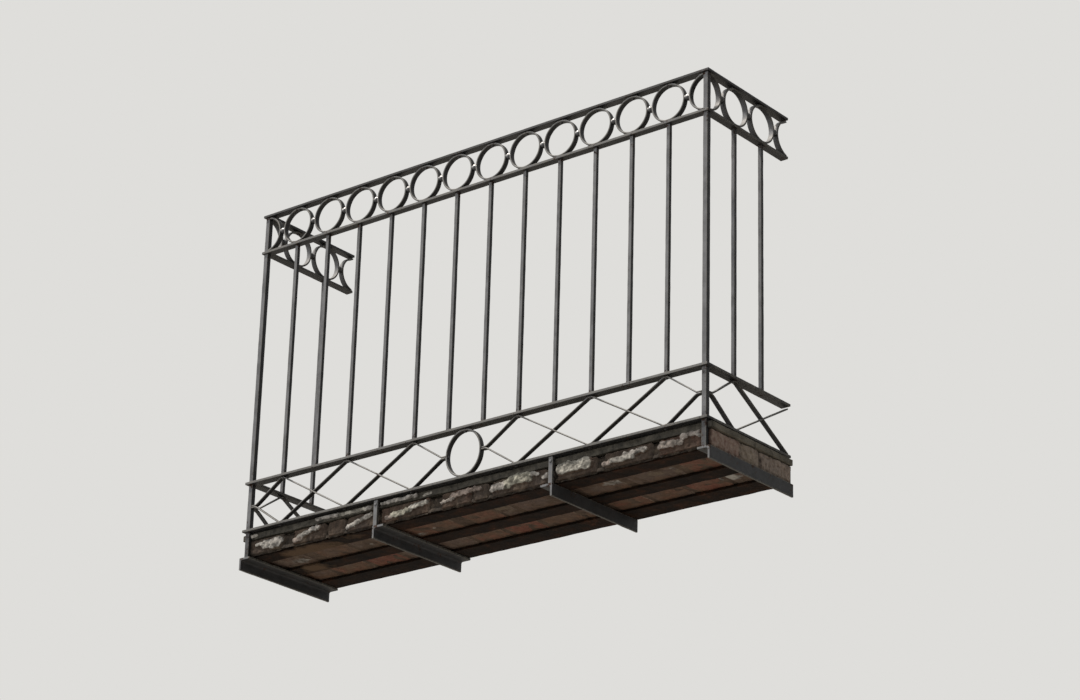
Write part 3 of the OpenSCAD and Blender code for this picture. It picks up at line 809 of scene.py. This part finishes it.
def smears(points, rows, seed):
    """How far lime stands out at each point of the front, the share of lime and its tint.
    The share is 1 - (d / half)^2, d being the distance to the lump's path, after the point
    has been shifted by smooth noise; the height goes with the share's fourth root."""
    x = points[..., 0] + 0.0035 * lumps(points, 0.009, seed, 3)
    z = points[..., 2] + 0.0030 * lumps(points, 0.009, seed + 1, 3)
    lift, lime, tint = (np.zeros(points.shape[:-1]) for _ in range(3))
    for path, half, height, hue in rows:
        path = np.reshape(path, (-1, 2)) * MM
        a, run = path[:-1], np.diff(path, axis=0)
        fx, fz = x[..., None] - a[:, 0], z[..., None] - a[:, 1]
        t = np.clip((fx * run[:, 0] + fz * run[:, 1]) / (run ** 2).sum(1), 0, 1)
        d2 = ((fx - t * run[:, 0]) ** 2 + (fz - t * run[:, 1]) ** 2).min(-1)
        share = np.clip(1 - d2 / (half * MM) ** 2, 0, 1)
        tint = np.where(share > lime, hue, tint)
        lime = np.maximum(lime, share)
        lift = np.maximum(lift, height * MM * np.sqrt(np.sqrt(share)))
    lift = lift * (0.8 + 0.3 * lumps(points, 0.014, seed + 2)
                   + 0.15 * lumps(points, 0.005, seed + 3))
    return lift, lime, tint


nose_section = outline(
    [(-0.026, BARS_Z1 + 0.001), (-0.0115, BARS_Z1 + 0.001), (-0.0115, CROSS_BAR_Z0 + 0.001),
     (-0.003, CROSS_BAR_Z0 + 0.001), (0, BARS_Z1 + 0.002), (0, BRICK_Z1), (-0.026, BRICK_Z1)],
    [0.001, 0.001, 0.0015, 0.002, 0.006, 0.006, 0.001],
    [0.006, 0.003, 0.0028, 0.0028, 0.0026, 0.005, 0.012])


def worn_nose(side, word, seed, step=0.0026):
    """The rough face of bricks and mortar along the deck's edge: nose_section carried along
    the front, and round the corner to the back, then moved along its outward normal. It goes
    in at the joints, by the smooth steps of ease, and by noise of 30, 10 and 4 mm, and out
    where lime is left."""
    x, y, a = np.arange(-STRAP_X, STRAP_X, step), np.zeros(0), np.zeros(0)
    if side:
        x = np.arange(STRAP_X, NOSE_X - CORNER_R, step)
        y = np.arange(NOSE_Y + CORNER_R, -0.002, step)
        a = np.radians(np.linspace(-90, 0, 8))[1:-1]
    path_x = np.concatenate([x, NOSE_X - CORNER_R + CORNER_R * np.cos(a),
                             np.full(len(y), NOSE_X)])
    path_y = np.concatenate([np.full(len(x), NOSE_Y), NOSE_Y + CORNER_R + CORNER_R * np.sin(a),
                             y])
    a = np.concatenate([np.full(len(x), -np.pi / 2), a, np.zeros(len(y))])
    out = np.stack([side * np.cos(a), np.sin(a), 0 * a], 1)
    spine = np.stack([(side or 1) * path_x, path_y, 0 * a], 1)
    flat, normal, _ = nose_section
    grid = spine[:, None] + flat[:, :1] * out[:, None] + flat[:, 1:] * Z
    push = normal[:, :1] * out[:, None] + normal[:, 1:] * Z
    at_end = (np.abs(out[:, 0]) > 0.7)[:, None]
    wander = 0.003 * lumps(grid, 0.016, seed)
    inside, tone = [], []
    for rows, along in ((FRONT_ROW[word], grid[..., 0]), (END_ROW, grid[..., 1])):
        rows = np.array(rows) * (MM, MM, 1)
        v = (along + wander)[..., None]
        depth = np.minimum(v - rows[:, 0], rows[:, 1] - v)
        inside.append(depth.max(-1))
        tone.append(rows[:, 2][depth.argmax(-1)])
    joint = 1 - ease(np.where(at_end, inside[1], inside[0]), -0.002, 0.006)
    lift, lime, tint = smears(grid, LIME_LUMPS[word], seed + 2)
    shown = np.where(at_end, 0.0, 1.0)
    hanging = ease(-grid[..., 2], -BARS_Z1 - 0.002, -BARS_Z1 + 0.003)
    washed_out = np.where(at_end, END_JOINT_DEEP, JOINT_DEEP) * joint
    move = (lift * shown - washed_out * (1 - lime * shown)
            - 0.0030 * (0.5 + 0.5 * np.clip(lumps(grid, 0.030, seed + 6), -1, 1))
            - 0.0026 * np.clip(lumps(grid, 0.010, seed + 7), 0, 1)
            - 0.0007 * lumps(grid, 0.004, seed + 8)
            - hanging * shown * 0.005 * (0.5 + 0.5 * lumps(grid, 0.018, seed + 9)))
    grid = grid + push * move[..., None]
    grid[..., 2] = np.where(at_end & (hanging > 0.9), CROSS_BAR_Z0 + 0.0002, grid[..., 2])
    face = skin(grid)
    for key, values in (("tone", np.where(at_end, tone[1], tone[0])), ("lime", lime * shown),
                        ("joint", np.maximum(joint, hanging)), ("tint", tint)):
        face[key] = np.append(values, (0.0, 0.0))
    return face


def limed(node, place, under, ragged, low, high):
    """The colour under, with bleached lime over it where its share plus 0.8 * ragged goes from
    low to high. Lime is grey to white in spots of 20 mm, whiter where its share is above 1,
    and its tint turns it green or pink."""
    lime, tint = (node("Attribute", attribute_name=mark).outputs["Fac"]
                  for mark in ("lime", "tint"))
    spots = node("TexNoise", place, 1 / 0.020, 8.0, 0.66)
    thick = node("MapRange", lime, 1.0, 2.0, 0.0, 0.2)
    whiter = node("Math", spots, thick, operation="ADD")
    shade = node("ValToRGB", whiter,
                 stops=((0.36, "#4c4a47"), (0.5, "#908d89"), (0.68, "#c2bfba")))
    green = node("Mix", tint, shade, "#cdd0b4", data_type="RGBA", blend_type="MULTIPLY")
    pink_mask = node("Math", tint, -1.0, operation="MULTIPLY")
    pale = node("Mix", pink_mask, green, "#d0b3a8", data_type="RGBA", blend_type="MULTIPLY")
    broken = node("Math", ragged, 0.8, lime, operation="MULTIPLY_ADD")
    lime_mask = node("MapRange", broken, low, high)
    return node("Mix", lime_mask, under, pale, data_type="RGBA")


# Fired clay, brown red to straw, with pits of burnt-out straw and grog of 1 to 4 mm. The side to
# the street is dark olive brown: soot and algae, and painted shade of the foot rail. Dust greys
# the two ends, the right one more; that extra paleness of the right end is painted light.
old_brick, node, shader = finish("worn_hand_moulded_brick")
place = node("TexCoord").outputs["Object"]
turned = node("SeparateXYZ", node("NewGeometry").outputs["Normal"]).outputs
tone, joint = (node("Attribute", attribute_name=mark).outputs["Fac"]
               for mark in ("tone", "joint"))
cloud = node("TexNoise", place, 1 / 0.07, 6.0, 0.6)
skinned = node("TexNoise", place, 1 / 0.016, 8.0, 0.7)
pits = node("TexVoronoi", place, 1 / 0.006)
shift = node("Math", cloud, 1.0, -0.5, operation="MULTIPLY_ADD")
hue = node("Math", tone, shift, operation="ADD")
clay = node("ValToRGB", hue, stops=((0.05, "#794a3f"), (0.3, "#7b5547"), (0.5, "#6b5546"),
                                    (0.7, "#695a53"), (0.95, "#7f735e")))
pit_mask = node("MapRange", pits, 0.10, 0.24, 0.5)
pitted = node("VectorMath", clay, pit_mask, operation="SCALE")
blotch = node("MapRange", skinned, 0.3, 0.7, 0.6, 1.25)
blotched = node("VectorMath", pitted, blotch, operation="SCALE")
# Dust greys the two ends, the left one less; the right end's extra paleness is painted light.
left_side = node("Math", turned["X"], -0.62, operation="MULTIPLY")
ends_dust_and_light = node("Math", turned["X"], left_side, operation="MAXIMUM")
dust_share = node("MapRange", skinned, 0.36, 0.62, 0.22, 0.80)
dust_mask = node("MapRange", ends_dust_and_light, 0.3, 0.9, 0.0, dust_share)
dusty = node("Mix", dust_mask, blotched, "#bcaea2", data_type="RGBA")
# Dark olive brown on the street side: soot and algae, and painted shade of the foot rail.
street_side = node("MapRange", turned["Y"], -0.2, -0.8, 0.0, 0.84)
soot = node("ValToRGB", skinned, stops=((0.36, "#1b1815"), (0.66, "#3d352e")))
soot_and_shade_front = node("Mix", street_side, dusty, soot, data_type="RGBA")
bedding = node("ValToRGB", skinned, stops=((0.36, "#1a1613"), (0.70, "#3b322a")))
joint_share = node("Math", dust_mask, -0.95, 1.0, operation="MULTIPLY_ADD")
joint_mask = node("Math", joint, joint_share, operation="MULTIPLY")
bedded = node("Mix", joint_mask, soot_and_shade_front, bedding, data_type="RGBA")
bloom_spots = node("TexNoise", place, 1 / 0.06, 7.0, 0.7, Distortion=0.3)
bloom_mask = node("MapRange", bloom_spots, 0.52, 0.72, 0.0, 0.42)
bloomed = node("Mix", bloom_mask, bedded, "#857768", data_type="RGBA")
rough = node("Math", pit_mask, 0.6, skinned, operation="MULTIPLY_ADD")
coat(shader, limed(node, place, bloomed, skinned, 0.60, 0.82), 0.92, 0.3, rough, 0.9, 0.0022)

# Lime mortar with coarse river sand, brown with soot in the joints, where no rain reaches it.
lime_mortar, node, shader = finish("washed_out_lime_mortar")
place = node("TexCoord").outputs["Object"]
stain = node("TexNoise", place, 1 / 0.035, 7.0, 0.66)
grains = node("TexVoronoi", place, 1 / 0.003)
shade = node("ValToRGB", stain, stops=((0.36, "#44372f"), (0.70, "#6f5e50")))
rough = node("Math", grains, 0.6, stain, operation="MULTIPLY_ADD")
coat(shader, shade, 0.95, 0.3, rough, 0.9, 0.0022)

block_steps = (0.010, 0.010, 0.03, 0.010)
for k, (side, word, x0, x1) in enumerate((
        (-1, "left", -END_DEEP, -STRAP_X), (0, "middle", -STRAP_X, STRAP_X),
        (1, "right", STRAP_X, END_DEEP))):
    bricks = []
    for rows, y0, y1 in ((FRONT_ROW, NOSE_DEEP, ROW_END), (BACK_ROW, ROW_START, BACK_ROW_END)):
        for left, right, tone in rows[word]:
            bricks.append(worn_block((max(left * MM, -END_DEEP), y0, BARS_Z1),
                                     (min(right * MM, END_DEEP), y1, BRICK_Z1), 0.004,
                                     block_steps, 0.005, 0.0026,
                                     220 + 11 * len(bricks) + 60 * k, tone))
    bricks = gather(bricks)
    bricks["lime"] = (ease(BRICK_Z1 - bricks["points"][:, 2], 0.03, 0.04)
                      * blots(bricks["points"], UNDER_SMEARS, 280 + k))
    bed = worn_block((x0, NOSE_DEEP, BARS_Z1 + 0.001), (x1, BACK_ROW_END, BRICK_Z1 - 0.001),
                     0.004, block_steps, 0.004, 0.0022, 240 + k)
    for name, shape, material in (("worn_nose_", worn_nose(side, word, 400 + 20 * k), old_brick),
                                  ("bricks_", bricks, old_brick),
                                  ("bed_mortar_", bed, lime_mortar)):
        put(name + word, shape, material, f"brick_bay_{word}")

# -------- Cement topping
# A trowelled layer of cement over the bricks, grey and stained. Its front has broken back in
# shallow bites, dark with soot and painted shade of the foot rail, and a few lengths of its
# first arris are left, worn pale.

DECK_Z = 0.050
# Each bite: its place from the left as a share of the length, its length and its depth in mm
EDGE_BREAKS = ((0.03, 70, 3), (0.105, 120, 5), (0.17, 80, 3), (0.225, 60, 2), (0.41, 90, 4),
               (0.475, 110, 6), (0.55, 100, 3), (0.62, 140, 5), (0.70, 80, 3), (0.77, 120, 5),
               (0.85, 90, 6), (0.92, 110, 3), (0.97, 60, 5))
# The lengths of arris that are left, as the lumps of lime above
ARRIS_LEFT = (
    ((-842, 42, -812, 43), 5, 4, 0.1),
    ((-566, 44, -520, 44, -480, 43), 7, 6, 0.0),
    ((-475, 42, -415, 42, -372, 42), 6, 4, 0.3),
    ((-368, 41, -355, 41), 8, 6, 0.0),
    ((-308, 43, -260, 43, -205, 43, -175, 43), 7, 7, 0.0),
    ((-150, 41, -118, 40), 4, 3, 0.2),
)

# Trowelled cement, matt and grey, with stains of 120 mm, sand, a few shrinkage cracks on top,
# and a darker edge: soot, with painted shade of the foot rail on the front.
cement, node, shader = finish("weathered_trowelled_cement")
place = node("TexCoord").outputs["Object"]
outer = node("Attribute", attribute_name="edge").outputs["Fac"]
stain = node("TexNoise", place, 1 / 0.12, 8.0, 0.64)
sand = node("TexNoise", place, 1 / 0.004, 5.0, 0.7)
soot_patch = node("TexNoise", place, 1 / 0.025, 8.0, 0.68)
shade = node("ValToRGB", stain,
             stops=((0.36, "#5a574e"), (0.5, "#807b70"), (0.68, "#9c978a")))
soot = node("ValToRGB", soot_patch, stops=((0.36, "#272623"), (0.68, "#55524b")))
# Darker edge: soot, and painted shade of the foot rail on the front. The ends get less; the right
# end least, lighter as painted light.
soot_and_shade_edge = node("Mix", outer, shade, soot, data_type="RGBA")
speck = node("MapRange", sand, 0.3, 0.7, 0.75, 1.15)
speckled = node("VectorMath", soot_and_shade_edge, speck, operation="SCALE")
wavy = node("VectorMath", stain.outputs["Color"], (0.10, 0.10, 0.0), place,
            operation="MULTIPLY_ADD")
shrunk = node("TexVoronoi", wavy, 1 / 0.42, feature="DISTANCE_TO_EDGE",
              voronoi_dimensions="2D")
crack = node("MapRange", shrunk, 0.0012, 0.0050, 0.45)
cracked = node("VectorMath", speckled, crack, operation="SCALE")
rough = node("Math", sand, 0.5, stain, operation="MULTIPLY_ADD")
coat(shader, limed(node, place, cracked, soot_patch, 0.62, 0.86), 0.9, 0.3, rough, 0.6, 0.002)


def broken_back(x):
    """How far the front edge has broken back at x: for each bite of length c and depth d, the
    circle through its ends; and 10 mm where a post passes."""
    back = np.where(np.abs(np.abs(x) - HALF_W) < POST / 2, 0.010, 0)
    for share, c, d in EDGE_BREAKS:
        c, d = c * MM, d * MM
        r = (c * c / 4 + d * d) / (2 * d)
        off = x - (2 * share - 1) * DECK_HALF
        back = np.maximum(back, np.sqrt(np.maximum(r * r - off * off, 0)) - (r - d))
    return back


topping = worn_block((-DECK_HALF, DECK_FRONT, BRICK_Z1), (DECK_HALF, 0.0, DECK_Z), 0.0015,
                     (0.05, 0.009, 0.012, 0.003), 0.002, 0.0006, 260)
p = topping["points"]
lift, topping["lime"], topping["tint"] = smears(p, ARRIS_LEFT, 262)
# Each from 0 to 1: nearness to the front and to the two ends, and lying on the front's face
near_front = np.clip((-0.30 - p[:, 1]) / 0.06, 0, 1)
near_side = np.clip((np.abs(p[:, 0]) - 0.80) / 0.05, 0, 1)
front_face = np.clip((-0.374 - p[:, 1]) / 0.006, 0, 1)
crumble = 0.0016 * np.clip(lumps(p, 0.012, 261, 3), 0, 1)
topping["lime"] *= front_face
# Edge darkening: soot and painted shade on the front face, less on the left end, least on the
# right end, lighter there as painted light.
topping["edge"] = np.maximum(front_face, np.where(p[:, 0] > 0, 0.15, 0.55)
                             * np.clip((np.abs(p[:, 0]) - 0.857) / 0.006, 0, 1))
deeper = 0.12 + 0.88 * ease(-p[:, 2], 0.001 - DECK_Z, 0.008 - DECK_Z)
p[:, 1] += near_front * deeper * (broken_back(p[:, 0]) + crumble) - front_face * lift
p[:, 0] -= np.sign(p[:, 0]) * near_side * crumble
put("cement_layer", topping, cement, "deck_topping")
